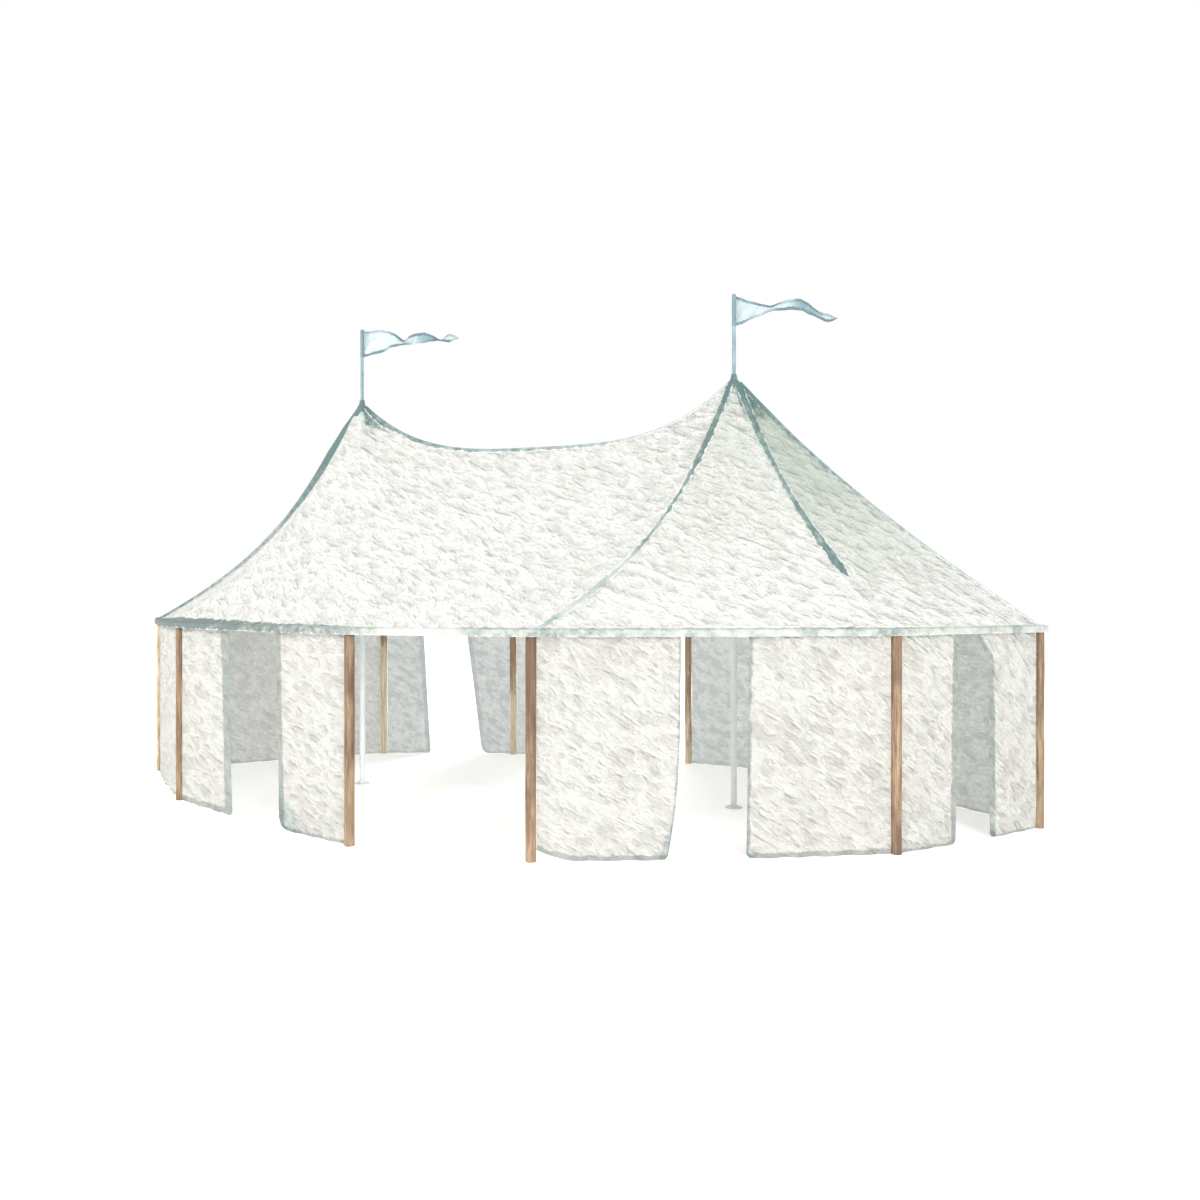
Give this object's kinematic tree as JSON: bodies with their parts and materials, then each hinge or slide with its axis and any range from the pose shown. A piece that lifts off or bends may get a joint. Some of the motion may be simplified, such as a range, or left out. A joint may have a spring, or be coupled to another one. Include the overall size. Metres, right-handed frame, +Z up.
{
  "type": "sailcloth tent",
  "caption": "Oval sailcloth pole tent with two peaks, a sagging ridge, wooden poles, wall curtains with gaps between them, and pennants on staffs.",
  "frame": {"origin": "on the ground in the middle of the tent", "axes": "+X along the ridge, -Y out of the front entrance, +Z up"},
  "size_m": [12.4687, 6.0602, 6.45],
  "materials": {
    "roof_cloth": "ivory sailcloth, woven, matt",
    "wall_cloth": "warm ivory canvas, matt",
    "pole_wood": "brown stained wood with tan grain",
    "mast": "pale blue grey, satin",
    "cap": "slate teal, satin",
    "staff": "blue grey, satin",
    "pennant_cloth": "pale blue cloth with darker edges"
  },
  "bodies": {
    "root": {"roof_left_front": "roof_cloth", "roof_front_left": "roof_cloth", "roof_front_middle": "roof_cloth", "roof_front_right": "roof_cloth", "roof_right_front": "roof_cloth", "roof_right_rear": "roof_cloth", "roof_rear_right": "roof_cloth", "roof_rear_middle": "roof_cloth", "roof_rear_left": "roof_cloth", "roof_left_rear": "roof_cloth", "wall_left_front": "wall_cloth", "wall_front_left_outer": "wall_cloth", "wall_front_left_inner": "wall_cloth", "wall_front_right_inner": "wall_cloth", "wall_front_right_outer": "wall_cloth", "wall_right_front_inner": "wall_cloth", "wall_right_front_outer": "wall_cloth", "wall_right_rear": "wall_cloth", "wall_rear_right": "wall_cloth", "wall_rear_middle": "wall_cloth", "wall_rear_left_inner": "wall_cloth", "wall_rear_left_outer": "wall_cloth", "wall_left_rear": "wall_cloth", "side_pole_left_end": "pole_wood", "side_pole_front_left_outer": "pole_wood", "side_pole_front_left": "pole_wood", "side_pole_front_right": "pole_wood", "side_pole_front_right_outer": "pole_wood", "side_pole_right_end": "pole_wood", "side_pole_rear_right_outer": "pole_wood", "side_pole_rear_right": "pole_wood", "side_pole_rear_left": "pole_wood", "side_pole_rear_left_outer": "pole_wood", "centre_pole_left": "mast", "centre_pole_right": "mast", "peak_cap_left": "cap", "peak_cap_right": "cap", "flagstaff_left": "staff", "flagstaff_right": "staff", "pennant_left": "pennant_cloth", "pennant_right": "pennant_cloth"}
  },
  "joints": []
}
